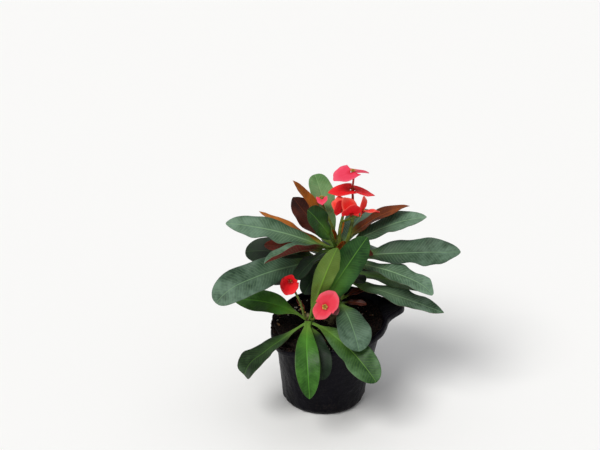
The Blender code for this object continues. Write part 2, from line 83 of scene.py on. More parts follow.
# the leaves of each kind are numbered in this order
LEAVES = {
    "leaf_crown": [
        Leaf("main", "rust", 209, 186, 59, 95, 20, 6, 25, 20, blunt=0.9),
        Leaf("main", "pale", 206, 128, 62, 85, 32, 10, 0, 10, blunt=0.42, stalk=2.6),
        Leaf("main", "bottle", 205, -135, 53, 78, 29, 14, 75, 10, sway=-10, stalk=3.6, glow=0.9),
        Leaf("main", "wine", 202, 142, 37, 78, 40, -8, 8, 10, blunt=0.8),
        Leaf("main", "chestnut", 204, 11, 29, 93, 24, 44, 0, 10, blunt=0.95),
        Leaf("main", "silver", 196, 4, 23, 109, 32, 36, -16, 10, 2.0, blunt=0.75, stalk=3.0),
        Leaf("main", "silver", 197, 184, 18, 132, 28, 24, 40, 8, 2.0, 3.0, blunt=0.66, stalk=3.2),
        Leaf("main", "rust", 200, 160, 20, 100, 22, -10, -5, blunt=0.9),
        Leaf("main", "silver", 203, -146, 4, 98, 30, 26, -18, 38, blunt=0.8),
        Leaf("main", "glaucous", 190, -12, 8.5, 142, 38, 6, -30, 8, 2.4, 3.0, blunt=0.66,
             stalk=3.0),
        Leaf("main", "glaucous", 186, -154, -5, 154, 39, 30, 35, 8, 3.0, 3.0, blunt=0.46, curl=24),
        Leaf("main", "silver", 184, -28, -4, 122, 25, 30, -20, 8, 2.4, 3.5, curl=20),
        Leaf("main", "painted_shade", 190, -134, -30, 58, 25, 50, 52, 8, 0.8),
        Leaf("main", "painted_shade", 178, 163, 1, 108, 36, 30, 40),
        Leaf("main", "green", 170, -6, -10, 102, 28, 16, -10, glow=0.8),
        Leaf("main", "silver", 160, -20, -9, 132, 27, 10, -15, 8, 2.8, 3.0, blunt=0.8, glow=0.7),
        Leaf("main", "painted_shade", 201, -134, -14, 66, 32, 60, -20),
        Leaf("main", "glaucous", 178, 48, -14, 110, 34, 40),
        Leaf("main", "deep", 172, 88, -8, 114, 36, 40),
        Leaf("main", "glaucous", 180, 124, -10, 112, 34, 30),
    ],
    "leaf_right": [
        Leaf("right", "glaucous", 143, -72, -22, 76, 40, 55, stalk=2.8, glow=0.5, blunt=0.6),
    ],
    "leaf_front": [
        Leaf("front", "fresh", 124, -40, 70, 113, 25, 10, 50, 6, blunt=0.72, stalk=3.8, glow=0.7),
        Leaf("front", "bright", 122, 176, 15, 88, 30, 45, 35, blunt=0.75, glow=0.8),
        Leaf("front", "deep", 118, -151, -24, 98, 32, 8, blunt=0.22, curl=40, glow=0.5),
        Leaf("front", "bright", 121, -88, -32, 100, 29, 85, sway=16, blunt=0.74, stalk=4.2,
             glow=0.6),
        Leaf("front", "green", 119, -46, -18, 112, 36, 45, -25, stalk=3.0, glow=0.6, blunt=0.52),
        Leaf("front", "painted_shade", 115, -78, -26, 76, 27, 80),
        Leaf("front", "bottle", 120, -8, 61, 131, 35, 4, -74, 6, 1.5, 2.0, blunt=0.6,
             stalk=4.6, glow=0.9),
    ],
}
# lobes and hollows of the margins: share of the length, side, swell and spread
LOBES = {
    "leaf_crown_03": [(0.5, -1, 2.0, 0.14)],
    "leaf_crown_06": [(0.62, 1, 2.5, 0.05), (0.78, 1, -2.5, 0.05)],
    "leaf_crown_07": [(0.5, -1, 3.0, 0.05), (0.62, -1, -3.0, 0.05), (0.76, -1, 3.0, 0.06)],
    "leaf_crown_10": [(0.56, 1, -3.5, 0.08), (0.71, 1, 3.5, 0.05), (0.86, 1, 2.0, 0.05)],
    "leaf_crown_11": [(0.30, -1, 6.0, 0.05), (0.44, -1, -3.0, 0.06), (0.62, -1, 2.5, 0.07),
                      (0.45, 1, 3.0, 0.07)],
    "leaf_crown_12": [(0.5, -1, -2.0, 0.05), (0.62, -1, 3.5, 0.05), (0.76, -1, -2.0, 0.05),
                      (0.9, -1, 3.0, 0.05), (0.7, 1, 2.5, 0.05)],
    "leaf_crown_16": [(0.6, -1, 2.0, 0.05), (0.74, 1, 2.5, 0.06)],
    "leaf_front_01": [(0.7, -1, 1.5, 0.06)],
    "leaf_front_03": [(0.62, -1, 2.0, 0.05), (0.8, 1, 1.5, 0.05)],
    "leaf_front_05": [(0.5, -1, 2.0, 0.05), (0.64, 1, -2.0, 0.05)],
    "leaf_front_07": [(0.45, 1, 2.5, 0.12)],
}
# small leaves between the others, which have no solids of their own
SMALL_LEAVES = {
    "young_leaf": [
        Leaf("main", "rust", 186, -72, 60, 42, 12, 6, 0, 20, 0.8, blunt=0.8),
        Leaf("main", "wine", 196, -22, 6, 40, 9, 80, -70, 20, 0.6),
        Leaf("right", "wine", 143, 14, 18, 38, 10, 30, -20, 10, 1.0),
        Leaf("right", "wine", 139, -16, 6, 32, 8, 30, -30, 10, 1.0),
        Leaf("main", "blush", 194, 173, 4, 82, 17, 20, 40, 10, 1.5),
        Leaf("main", "rust", 211, 60, 70, 24, 7, 20, 0, 30, 0.4),
        Leaf("main", "rust", 211, 225, 70, 20, 6, 20, 0, 30, 0.4),
        Leaf("right", "wine", 145, -10, 60, 26, 9, 20, 0, 25, 0.5),
        Leaf("front", "blush", 125, 150, 58, 24, 8, 20, 0, 25, 0.5),
    ],
    "inner_leaf": [
        Leaf("main", "painted_shade", 166, 20, -16, 92, 30, 30),
        Leaf("main", "painted_shade", 162, 142, -16, 96, 32, 34),
        Leaf("main", "painted_shade", 164, -177, -7, 68, 30, 34),
        Leaf("main", "deep", 158, 68, -20, 92, 32, 44),
        Leaf("main", "glaucous", 188, 66, 12, 100, 32, 40),
        Leaf("main", "green", 190, 106, 14, 104, 33, 44),
        Leaf("main", "glaucous", 154, 110, -20, 88, 30, 46),
        Leaf("main", "painted_shade", 172, -42, -2, 40, 22, 20),
    ],
}

STALK_TOP_RADIUS = 1.2
# foot radius, then the main run and the runs that fork off it
STALKS = {
    "stalk_tall": (3.0, [
        [(23, -5, 206), (28, -7, 222), (32, -5, 244), (32, 6, 262), (32, 11, 267)],
        [(32, 2, 256), (32, 13, 262), (32, 18, 271), (33, 20, 281), (32, 17, 288)]]),
    "stalk_cluster": (2.9, [
        [(17, -9, 210), (17, -9, 230), (20, -10, 247), (21, -11, 251)],
        [(18, -9, 240), (25, -18, 247), (29, -23, 253)],
        [(18, -9, 240), (31, -13, 246), (42, -14, 251)]]),
    "stalk_back": (1.8, [[(14, 1, 216), (6, 4, 234), (-4, 8, 257)]]),
    "stalk_left": (1.5, [[(-24, -35, 128), (-29, -34, 147), (-38, -29, 165)]]),
    "stalk_front": (1.6, [[(-13.5, -38, 127), (-8, -46, 138), (-2, -55, 150)]]),
}

# facing is the heading and rise of the flower's axis and turn goes round it; sizes, droops and
# twists are those of its two bracts, and frill is how deep the waves of their margins are
Flower = namedtuple("Flower", "tone centre facing turn sizes droops twists frill", defaults=(0.5,))
FLOWERS = {
    "flower_top": Flower("rose", (32, 17, 292), (-90, 88), -30, (23, 19), (13, 14), (-2, 10)),
    "flower_upper": Flower("scarlet", (32, 12, 271), (-90, 88), -8, (25, 24), (5, 18), (4, 8)),
    "flower_cluster_left": Flower("flame", (20, -12, 255), (180, 70), 0, (15, 15), (-52, -66),
                                  (20, -20), 1.6),
    "flower_cluster_middle": Flower("flame", (29, -24, 256), (-90, 72), 75, (18, 17), (-58, -74),
                                    (35, 0), 1.5),
    "flower_cluster_right": Flower("flame", (43, -14, 255), (0, 60), -80, (17, 15), (-32, -58),
                                   (-15, 30), 1.3),
    "flower_back": Flower("rose", (-4, 8, 262), (95, 50), 96, (9.5, 9), (62, 0), (0, 0), 0.1),
    "flower_left": Flower("scarlet", (-40, -28, 173), (-100, 30), 104, (12, 15.5), (-60, 0),
                          (0, 0)),
    "flower_front": Flower("coral", (-1, -58, 155), (-85, 22), 128, (18.5, 15), (5, 5), (0, 0)),
}
# a shaded flower behind the front one, its red bracts painted dark for the shade it sits in, which
# has no solids of its own
SHADED_FLOWER = Flower("painted_shade_red", (9, -53, 151), (-80, 20), -112, (8, 10), (-12, -6), (0, 0))

GOLDEN_ANGLE = 137.5  # turn from one thorn, scar or stamen to the next


def direction(heading, rise):
    h = radians(heading)
    r = radians(rise)
    return Vector((cos(r) * cos(h), cos(r) * sin(h), sin(r)))


def between(table, position):
    """Linear reading of a table of (position, value) pairs."""
    for (p0, v0), (p1, v1) in zip(table, table[1:]):
        if position <= p1:
            return v0 + (v1 - v0) * (position - p0) / (p1 - p0)
    return table[-1][1]


def bell(value, spread):
    return exp(-(value / spread) ** 2)


def ease(value):
    value = min(1.0, max(0.0, value))
    return value * value * (3 - 2 * value)


def roughly(place, size, seed=0.0):
    """Smooth noise from -1 to 1 with features of about the given size."""
    return noise.noise(Vector(place) / size + Vector((seed, seed * 1.7, -seed)))


def turned_away(heading, centre):
    return (heading - centre + 180.0) % 360.0 - 180.0


def standing(place, ahead):
    """Matrix that puts a shape at a place with its +Z pointing ahead."""
    return Matrix.Translation(place) @ UP.rotation_difference(ahead).to_matrix().to_4x4()


# -------- finishes
def rgb(code):
    """A screen colour, two hexadecimal digits each of red, green and blue, as a linear colour."""
    levels = [int(code[i:i + 2], 16) / 255 for i in (0, 2, 4)]
    light = [v / 12.92 if v <= 0.04045 else ((v + 0.055) / 1.055) ** 2.4 for v in levels]
    return (*light, 1.0)


class Level:
    """A number that varies over a surface and can be used in sums."""

    def __init__(self, finish, socket):
        self.finish = finish
        self.socket = socket

    def __add__(self, other):
        return self.finish.sum("ADD", self, other)

    __radd__ = __add__

    def __sub__(self, other):
        return self.finish.sum("SUBTRACT", self, other)

    def __rsub__(self, other):
        return self.finish.sum("SUBTRACT", other, self)

    def __mul__(self, other):
        return self.finish.sum("MULTIPLY", self, other)

    __rmul__ = __mul__

    def __abs__(self):
        return self.finish.sum("ABSOLUTE", self)


class Finish:
    """One material, built from procedural patterns."""

    def __init__(self, name, gloss, **sockets):
        self.material = bpy.data.materials.new(name)
        self.material.use_nodes = True
        self.tree = self.material.node_tree
        self.shader = self.tree.nodes["Principled BSDF"]
        self.paint(Specular_IOR_Level=gloss, **sockets)

    def node(self, kind, settings, sockets):
        made = self.tree.nodes.new("ShaderNode" + kind)
        for setting, value in settings.items():
            setattr(made, setting, value)
        for socket, value in sockets.items():
            self.feed(made.inputs[socket], value)
        return made

    def feed(self, socket, value):
        if isinstance(value, Level):
            value = value.socket
        if isinstance(value, bpy.types.NodeSocket):
            self.tree.links.new(value, socket)
        else:
            socket.default_value = value

    def sum(self, operation, *values):
        made = self.node("Math", {"operation": operation}, dict(enumerate(values)))
        return Level(self, made.outputs[0])

    def place(self):
        return self.node("TexCoord", {}, {}).outputs["Object"]

    def parts(self, vector):
        split = self.node("SeparateXYZ", {}, {"Vector": vector})
        return [Level(self, out) for out in split.outputs]

    def drawn(self, name):
        """The three numbers that a piece's mesh keeps for each point under this name."""
        return self.parts(self.node("Attribute", {"attribute_name": name}, {}).outputs["Vector"])

    def joined(self, *levels):
        return self.node("CombineXYZ", {}, dict(enumerate(levels))).outputs[0]

    def cloud(self, scale, detail, vector=None):
        made = self.node("TexNoise", {}, {"Vector": vector or self.place(), "Scale": scale,
                                          "Detail": detail, "Roughness": 0.55})
        return Level(self, made.outputs["Fac"])

    def cells(self, scale, feature="F1"):
        made = self.node("TexVoronoi", {"feature": feature},
                         {"Vector": self.place(), "Scale": scale})
        return Level(self, made.outputs["Distance"])

    def step(self, level, low, high):
        """0 below low, 1 above high, and smooth between."""
        made = self.node("MapRange", {"interpolation_type": "SMOOTHSTEP"},
                         {"Value": level, "From Min": low, "From Max": high})
        return Level(self, made.outputs[0])

    def mix(self, factor, first, second):
        made = self.node("Mix", {"data_type": "RGBA"}, {0: factor, 6: first, 7: second})
        return made.outputs[2]

    def relief(self, height, distance, strength):
        made = self.node("Bump", {}, {"Height": height, "Distance": distance, "Strength": strength})
        self.tree.links.new(made.outputs["Normal"], self.shader.inputs["Normal"])

    def paint(self, **sockets):
        for socket, value in sockets.items():
            self.feed(self.shader.inputs[socket.replace("_", " ")], value)


# -------- leaf finishes
# tone: upper light, upper dark, rib, underside and margin, then bloom (how waxy), roughness and
# how far painted shade darkens the blade towards its foot
LEAF_TONES = {
    "silver": ("6e8c74", "36503a", "88ac80", "702224", "64604e", 0.5, 0.46, 0.9),
    "glaucous": ("58745e", "243a2a", "6e9068", "4c362a", "4c4638", 0.5, 0.42, 0.95),
    "green": ("466c38", "1c3a1a", "64923a", "424a24", "465426", 0.25, 0.38, 0.1),
    "deep": ("2e4826", "122210", "4a702e", "34261a", "503624", 0.12, 0.40, 0.3),
    # painted shade: a very dark green tone for leaves that sit in the shadow inside the plant
    "painted_shade": ("1c2e1c", "0d180f", "2e4626", "2e1a18", "282e1c", 0.0, 0.5, 0.3),
    "bottle": ("2c5626", "143012", "609636", "3c3c22", "404824", 0.0, 0.40, 0.1),
    "bright": ("44762c", "224616", "589632", "4c682e", "5c622a", 0.0, 0.36, 0.0),
    "fresh": ("48881e", "2a5e14", "86bc36", "688036", "768432", 0.0, 0.40, 0.0),
    "pale": ("82ae72", "608e56", "9ac484", "667444", "769460", 0.3, 0.44, 0.2),
    "rust": ("bc6e22", "8a4a16", "bc7c2e", "863e14", "a04e1a", 0.0, 0.38, 0.2),
    "chestnut": ("944a1a", "54220e", "8e4e22", "5c2214", "843e1a", 0.0, 0.46, 0.6),
    "wine": ("522214", "2a100c", "68321c", "5c2214", "682c1a", 0.0, 0.42, 0.3),
    "blush": ("8e4232", "5e261c", "8c5836", "5c221a", "8a4636", 0.0, 0.42, 0.2),
}
LEAF_STALK_TONE = rgb("70963e")
LEAF_BLOOM_TONE = rgb("8aa494")


def leaf_finish(tone):
    *colours, bloom, roughness, shade = LEAF_TONES[tone]
    light, dark, rib, under, margin = map(rgb, colours)
    leaf = Finish("leaf_" + tone, 0.24, IOR=1.42)
    along, across, share = leaf.drawn("leaf_place")
    side, under_side, glow = leaf.drawn("leaf_side")
    out = abs(across)
    # side veins leave the rib at a slant and fade before the margin
    slant = along - out * 0.75 + leaf.cloud(90, 3) * 5.0
    vein_line = leaf.sum("PINGPONG", slant, 1.9)
    vein = ((1 - leaf.step(vein_line, 0.0, 0.8)) * leaf.step(out, 0.6, 3.0)
            * (1 - leaf.step(abs(side), 0.7, 1.0)))
    patches = leaf.cloud(30, 3)
    mottle = leaf.cloud(150, 4)
    rib_width = 1.15 - share * 0.9
    rib_mask = 1 - leaf.step(out - rib_width, -0.35, 0.35)
    stalk_mask = 1 - leaf.step(share, 0.12, 0.36)
    glow_mask = (1 - leaf.step(share, 0.15, 0.85)) * (1 - leaf.step(abs(side), 0.1, 1.0)) * glow
    edge = leaf.step(abs(side), 0.965, 1.0)

    body = leaf.mix(leaf.step(patches * 0.7 + mottle * 0.3, 0.34, 0.66), dark, light)
    body = leaf.mix(leaf.step(mottle * 0.4 + patches, 0.58, 0.92) * (0.5 * bloom), body,
                    LEAF_BLOOM_TONE)
    # painted shade: the blade darkens towards its foot, where the inside of the plant is in shadow
    body = leaf.mix((1 - leaf.step(share, 0.3, 0.95)) * shade, body, dark)
    body = leaf.mix(glow_mask, body, rib)
    body = leaf.mix(vein * (0.12 + 0.32 * bloom), body, rib)
    body = leaf.mix(edge * 0.5, body, margin)
    body = leaf.mix(rib_mask * 0.75, body, rib)
    body = leaf.mix(stalk_mask * 0.8, body, LEAF_STALK_TONE)
    back = leaf.mix(leaf.step(patches, 0.35, 0.7) * 0.4, under, dark)
    back = leaf.mix(vein * 0.12, back, rib)
    back = leaf.mix(rib_mask * 0.5, back, rib)
    back = leaf.mix(stalk_mask * 0.75, back, LEAF_STALK_TONE)
    leaf.paint(Base_Color=leaf.mix(leaf.step(under_side, 0.35, 0.65), body, back),
               Roughness=mottle * 0.14 + (roughness - 0.07 + 0.1 * bloom))
    pores = leaf.cells(900, "DISTANCE_TO_EDGE")
    leaf.relief(vein * -0.5 + pores * 0.3 + leaf.cloud(260, 3) * 0.5, 0.0004, 0.45)
    return leaf.material


# tone: by the cup, blade, rim and the faint rays
BRACT_TONES = {
    "scarlet": ("be0c10", "f41824", "f63c3e", "ec2226"),
    "flame": ("e21e1e", "f63630", "fa7c6a", "f22c26"),
    "coral": ("d62434", "e83e50", "f06878", "e02e40"),
    "rose": ("d6243e", "ea425e", "f0627a", "dc2c44"),
    # painted shade: red bracts darkened to maroon for a flower that sits in shadow
    "painted_shade_red": ("602428", "844248", "8e5a5c", "74383a"),
}


def bract_finish(tone):
    heart, blade, rim, rays_tone = map(rgb, BRACT_TONES[tone])
    bract = Finish("bract_" + tone, 0.16, IOR=1.4)
    share, around, _ = bract.drawn("bract_place")
    rays = bract.cloud(1.0, 3, bract.joined(around * 11.0, share * 1.2))
    blotch = bract.cloud(120, 3)
    body = bract.mix(bract.step(share, 0.10, 0.45), heart, blade)
    body = bract.mix(bract.step(share + (blotch - 0.5) * 0.5, 0.62, 1.05) * 0.7, body, rim)
    body = bract.mix(bract.step(rays, 0.54, 0.66) * 0.3, body, rays_tone)
    bract.paint(Base_Color=body, Roughness=blotch * 0.15 + 0.42)
    bract.relief(rays * 0.6 + bract.cloud(700, 2) * 0.3, 0.0003, 0.5)
    return bract.material


def stalk_finish():
    stalk = Finish("flower_stalk", 0.35)
    mottle = stalk.cloud(160, 3)
    *_, z = stalk.parts(stalk.place())
    body = stalk.mix(stalk.step(mottle, 0.35, 0.65), rgb("4a561c"), rgb("687a2a"))
    body = stalk.mix(stalk.step(stalk.cloud(500, 2), 0.60, 0.70) * 0.3, body, rgb("8c8e4c"))
    body = stalk.mix(stalk.step(z, 0.250, 0.262) * 0.9, body, rgb("ce3e34"))
    stalk.paint(Base_Color=body, Roughness=mottle * 0.2 + 0.36)
    stalk.relief(stalk.cloud(420, 3), 0.0004, 0.5)
    return stalk.material


def heart_finish(name, light, dark):
    heart = Finish(name, 0.45)
    mottle = heart.cloud(600, 3)
    heart.paint(Base_Color=heart.mix(heart.step(mottle, 0.38, 0.62), dark, light),
                Roughness=mottle * 0.2 + 0.3)
    heart.relief(heart.cloud(1500, 2), 0.0002, 0.4)
    return heart.material


def bark_finish():
    bark = Finish("stem_bark", 0.25)
    x, y, z = bark.parts(bark.place())
    mottle = bark.cloud(180, 5)
    rings = bark.cloud(1.0, 4, bark.joined(x * 90.0, y * 90.0, z * 520.0))
    body = bark.mix(bark.step(mottle, 0.38, 0.62), rgb("4a3e2a"), rgb("786c4c"))
    body = bark.mix(bark.step(rings, 0.52, 0.66) * 0.6, body, rgb("988e70"))
    body = bark.mix(bark.step(z, 0.15, 0.21) * 0.75, body, rgb("586230"))
    body = bark.mix((1 - bark.step(z, 0.104, 0.125)) * 0.6, body, rgb("2e2218"))
    bark.paint(Base_Color=body, Roughness=mottle * 0.2 + 0.6)
    bark.relief(rings * 0.7 + mottle * 0.6, 0.0012, 0.8)
    return bark.material


def film_finish():
    film = Finish("black_film", 0.07, IOR=1.5)
    x, y, z = film.parts(film.place())
    mottle = film.cloud(60, 5)
    smears = film.cloud(1.0, 4, film.joined(x * 45.0, y * 45.0, z * 14.0))
    dust = film.step(film.cloud(420, 3) * 0.55 + mottle * 0.45, 0.52, 0.72)
    low_dust = dust * (1 - film.step(z, 0.0, 0.05)) * 0.5
    body = film.mix(film.step(smears, 0.4, 0.65), rgb("05040a"), rgb("0b0912"))
    body = film.mix(dust * 0.12, body, rgb("3c3738"))
    body = film.mix(low_dust, body, rgb("3a322c"))
    film.paint(Base_Color=body, Roughness=mottle * 0.24 + smears * 0.12 + 0.24)
    film.relief(film.cloud(110, 5) * 0.8 + film.cloud(600, 3) * 0.12 + smears * 0.4, 0.0035, 0.55)
    return film.material


def soil_finish(name, dark, light, fibre):
    soil = Finish(name, 0.12)
    mottle = soil.cloud(420, 5)
    clods = soil.cells(340)
    body = soil.mix(soil.step(mottle, 0.4, 0.66), dark, light)
    body = soil.mix(soil.step(soil.cloud(900, 3), 0.62, 0.72) * 0.5, body, fibre)
    soil.paint(Base_Color=body, Roughness=mottle * 0.1 + 0.82)
    soil.relief(clods * -0.7 + mottle * 0.9, 0.003, 0.9)
    return soil.material


def grain_finish(name, dark, light, roughness, scale=900, detail=4, spread=(0.36, 0.64),
                 uneven=0.15, gloss=0.2, relief=(0.0008, 0.7)):
    grain = Finish(name, gloss)
    mottle = grain.cloud(scale, detail)
    grain.paint(Base_Color=grain.mix(grain.step(mottle, *spread), dark, light),
                Roughness=mottle * uneven + roughness)
    grain.relief(mottle, *relief)
    return grain.material


# -------- making and finishing pieces
def put_in_scene(name, data):
    item = bpy.data.objects.new(name, data)
    bpy.context.scene.collection.objects.link(item)
    return item


def mesh_of(name, bm):
    mesh = bpy.data.meshes.new(name)
    bm.to_mesh(mesh)
    bm.free()
    return mesh


def finish_piece(name, bm, surfaces, stands_for=()):
    """Turns a shape in millimetres into a finished piece that rides on the plant."""
    bmesh.ops.scale(bm, vec=(MM, MM, MM), verts=bm.verts)
    mesh = mesh_of(name, bm)
    mesh.shade_smooth()
    item = put_in_scene(name, mesh)
    for surface in surfaces:
        mesh.materials.append(surface)
    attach(item, "root")
    if stands_for:
        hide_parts(*stands_for)
    return item


def modify(item, name, kind, **settings):
    modifier = item.modifiers.new(name, kind)
    for setting, value in settings.items():
        setattr(modifier, setting, value)


def face_outwards(bm):
    bmesh.ops.recalc_face_normals(bm, faces=bm.faces)


def close_ends(bm):
    """Welds the seam of a wrapped grid, fills its two open ends and turns its faces outwards."""
    bmesh.ops.remove_doubles(bm, verts=bm.verts, dist=WELD)
    open_edges = [e for e in bm.edges if e.is_boundary]
    bmesh.ops.holes_fill(bm, edges=open_edges, sides=0)
    face_outwards(bm)


def surface_new_faces(bm, before, surface):
    """Gives all faces past this many the surface with this number."""
    bm.faces.ensure_lookup_table()
    for face in bm.faces[before:]:
        face.material_index = surface


def smooth_path(points, steps=3):
    """Catmull-Rom reading of a short list of points, with any number of values in each."""
    if len(points) < 3:
        return list(points)
    ends = [points[0]] + list(points) + [points[-1]]
    path = []
    for i in range(len(points) - 1):
        p0, p1, p2, p3 = ends[i:i + 4]
        for k in range(steps):
            t = k / steps
            path.append(tuple(b + 0.5 * t * (c - a + t * (
                2 * a - 5 * b + 4 * c - d + t * (3 * b - a - 3 * c + d)))
                for a, b, c, d in zip(p0, p1, p2, p3)))
    path.append(points[-1])
    return path


def shoot_at(shoot, height):
    """Centre line and radius of a shoot at a height."""
    points = smooth_path(SHOOTS[shoot])
    for low, high in zip(points, points[1:]):
        if low[2] <= height <= high[2]:
            t = (height - low[2]) / (high[2] - low[2])
            x, y, z, radius = (a + (b - a) * t for a, b in zip(low, high))
            return Vector((x, y, z)), radius
    raise ValueError("no %s shoot at height %s" % (shoot, height))


def add_sweep(bm, path, sides, knobs=0.0):
    """Adds a closed round run through (x, y, z, radius) points, a grid wrapped around the path."""
    count = len(path) - 1
    centres = [Vector(p[:3]) for p in path]
    level = Vector((1, 0, 0))
    rings = []
    for i, centre in enumerate(centres):
        ahead = (centres[min(i + 1, count)] - centres[max(i - 1, 0)]).normalized()
        level = (level - ahead * level.dot(ahead)).normalized()
        rings.append((centre, level.copy(), ahead.cross(level), path[i][3]))
    made = bmesh.ops.create_grid(bm, x_segments=count, y_segments=sides, size=1.0)["verts"]
    for vertex in made:
        centre, across, up, radius = rings[round((vertex.co.x + 1) / 2 * count)]
        angle = pi * (round((vertex.co.y + 1) / 2 * sides) % sides * 2 / sides)
        place = centre + across * (radius * cos(angle)) + up * (radius * sin(angle))
        vertex.co = centre + (place - centre) * (1 + knobs * roughly(place, 4.0))
    bmesh.ops.remove_doubles(bm, verts=made, dist=WELD)
    open_edges = [e for v in made if v.is_valid for e in v.link_edges if e.is_boundary]
    bmesh.ops.holes_fill(bm, edges=list(set(open_edges)), sides=0)


# -------- leaves
LEAF_STEPS = 60
# shares of the length, closer together towards the tip
LEAF_SHARES = [1 - (1 - i / LEAF_STEPS) ** 1.35 for i in range(LEAF_STEPS + 1)]
# places across the blade, from one margin to the midrib: close together at the margin and the rib
LEAF_HALF = [1.0, 0.985, 0.93, 0.84, 0.73, 0.61, 0.49, 0.37, 0.26, 0.17, 0.10, 0.05, 0.02, 0.0]
LEAF_ACROSS = LEAF_HALF + [-v for v in reversed(LEAF_HALF[:-1])]
LEAF_ROOTING = 0.4  # the foot of a leaf sinks this far into its shoot
BLADE_THICKNESS = 0.55
STALK_THICKNESS = 2.4
STALK_SHARE = 0.17  # how far along the leaf its stalk stays round
NARROWEST = 0.15  # half-width at the very tip
# where along or across the leaf a change starts, and over how much it goes on
CURL = (0.72, 0.28)
TIP = (0.93, 0.07)
MARGIN = (0.985, 0.015)
GROOVE_DEPTH, GROOVE_WIDTH = 0.35, 1.3  # along the rib, on the upper side
KEEL_HEIGHT, KEEL_WIDTH = 1.0, 1.5  # along the rib, on the underside


def past(value, change):
    """How far a value is into a change: below 0 before it, and 1 at its end."""
    start, span = change
    return (value - start) / span


def midrib(leaf):
    """Points along a leaf's midrib, base to tip: share, place, direction and length so far."""
    centre, radius = shoot_at(leaf.shoot, leaf.height)
    half_bend = radians(leaf.arch) / 2
    length = leaf.reach * (half_bend / sin(half_bend) if half_bend else 1.0)
    place = centre + direction(leaf.heading - leaf.sway / 2, 0) * (radius - LEAF_ROOTING)

    def ahead_at(u):
        pitch = leaf.rise - leaf.arch * (u - 0.5) - leaf.curl * ease(past(u, CURL))
        return direction(leaf.heading + leaf.sway * (u - 0.5), pitch)

    points = []
    for i, u in enumerate(LEAF_SHARES):
        points.append((u, place.copy(), ahead_at(u), length * u))
        if i < LEAF_STEPS:
            onward = LEAF_SHARES[i + 1] - u
            place = place + ahead_at(u + onward / 2) * (length * onward)
    return points


def half_width(leaf, lobes, u, side):
    towards_stalk = u / LEAF_WIDEST
    towards_tip = max(0.0, 1.0 - u) / (1.0 - LEAF_WIDEST)
    width = leaf.width / 2 * towards_stalk ** LEAF_TAPER * towards_tip ** leaf.blunt
    for where, lobe_side, swell, spread in lobes:
        if side * lobe_side >= 0:
            width += swell * bell(u - where, spread) * min(1.0, towards_tip * 3)
    return max(leaf.stalk * (1 - 0.5 * u) if u < 0.5 else NARROWEST, width)


def turned_blade(ahead, degrees):
    """Sideways and upward directions of a blade that is turned about its midrib."""
    side = ahead.cross(UP).normalized()
    normal = side.cross(ahead)
    turn = radians(degrees)
    return (side * cos(turn) + normal * sin(turn),
            normal * cos(turn) - side * sin(turn))


def make_leaf(name, leaf, finish, stands_for=()):
    bm = bmesh.new()
    seed = dice.uniform(0, 90)
    spine = midrib(leaf)
    lobes = LOBES.get(name, ())
    ring = 2 * (len(LEAF_ACROSS) - 1)
    where = bm.verts.layers.float_vector.new("leaf_place")
    which = bm.verts.layers.float_vector.new("leaf_side")
    made = bmesh.ops.create_grid(bm, x_segments=LEAF_STEPS, y_segments=ring, size=1.0)["verts"]
    fold = radians(leaf.fold)
    for vertex in made:
        u, place, ahead, along = spine[round((vertex.co.x + 1) / 2 * LEAF_STEPS)]
        j = round((vertex.co.y + 1) / 2 * ring) % ring
        upper = j < len(LEAF_ACROSS)
        v = LEAF_ACROSS[j] if upper else LEAF_ACROSS[ring - j]
        side, normal = turned_blade(ahead, leaf.roll * min(1.0, u / LEAF_TWIST_END) ** 2)
        across = v * half_width(leaf, lobes, u, v)
        swell = sin(pi * u) * abs(v) ** 1.5
        ripple = leaf.wave * swell * sin(2 * pi * leaf.ripples * u + v + leaf.heading)
        stalk = bell(u, STALK_SHARE)
        thin = sqrt(max(0.0, 1 - max(0.0, past(abs(v), MARGIN)) ** 2))
        rounding = sqrt(max(0.0, 1 - v * v))
        tip = 1 - ease(past(u, TIP)) * 0.6
        lift = (BLADE_THICKNESS / 2 * thin * (1 - stalk)
                + STALK_THICKNESS / 2 * rounding * stalk) * tip
        if upper:
            lift -= GROOVE_DEPTH * (1 - u) * (1 - stalk) * bell(across, GROOVE_WIDTH)
        else:
            keel = KEEL_HEIGHT * (1 - u) ** 0.8 * (1 - stalk) * tip * bell(across, KEEL_WIDTH)
            lift = -lift - keel
        middle = (place + side * (across * cos(fold))
                  + normal * (abs(across) * sin(fold) + ripple))
        uneven = roughly(middle, 14.0, seed) * 0.9 + roughly(middle, 5.0, seed) * 0.25 * abs(v)
        vertex.co = middle + normal * (lift + uneven * ease(u * 3 - 0.3))
        vertex[where] = Vector((along, across, u))
        vertex[which] = Vector((v, 0.5 if abs(v) > 0.99 else 0.0 if upper else 1.0, leaf.glow))
    close_ends(bm)
    finish_piece(name + "_blade", bm, [finish], stands_for)


# -------- flowers
def flower_frame(flower):
    """Matrix with +Z along the flower's axis and +X along its first bract."""
    axis = direction(*flower.facing)
    level = axis.cross(UP).normalized()
    upright = level.cross(axis)
    turn = radians(flower.turn)
    across = level * cos(turn) + upright * sin(turn)
    matrix = Matrix((across, axis.cross(across), axis)).transposed().to_4x4()
    return Matrix.Translation(Vector(flower.centre)) @ matrix


BRACT_SPREAD = 96.0  # half of the angle that a bract spans
BRACT_START = 0.12  # share of its size at which its narrow end starts
BRACT_FOOT = 0.2  # distance from the flower's axis
BRACT_LIFT = 1.6  # rise of its sides
BRACT_THICKNESS = 0.4


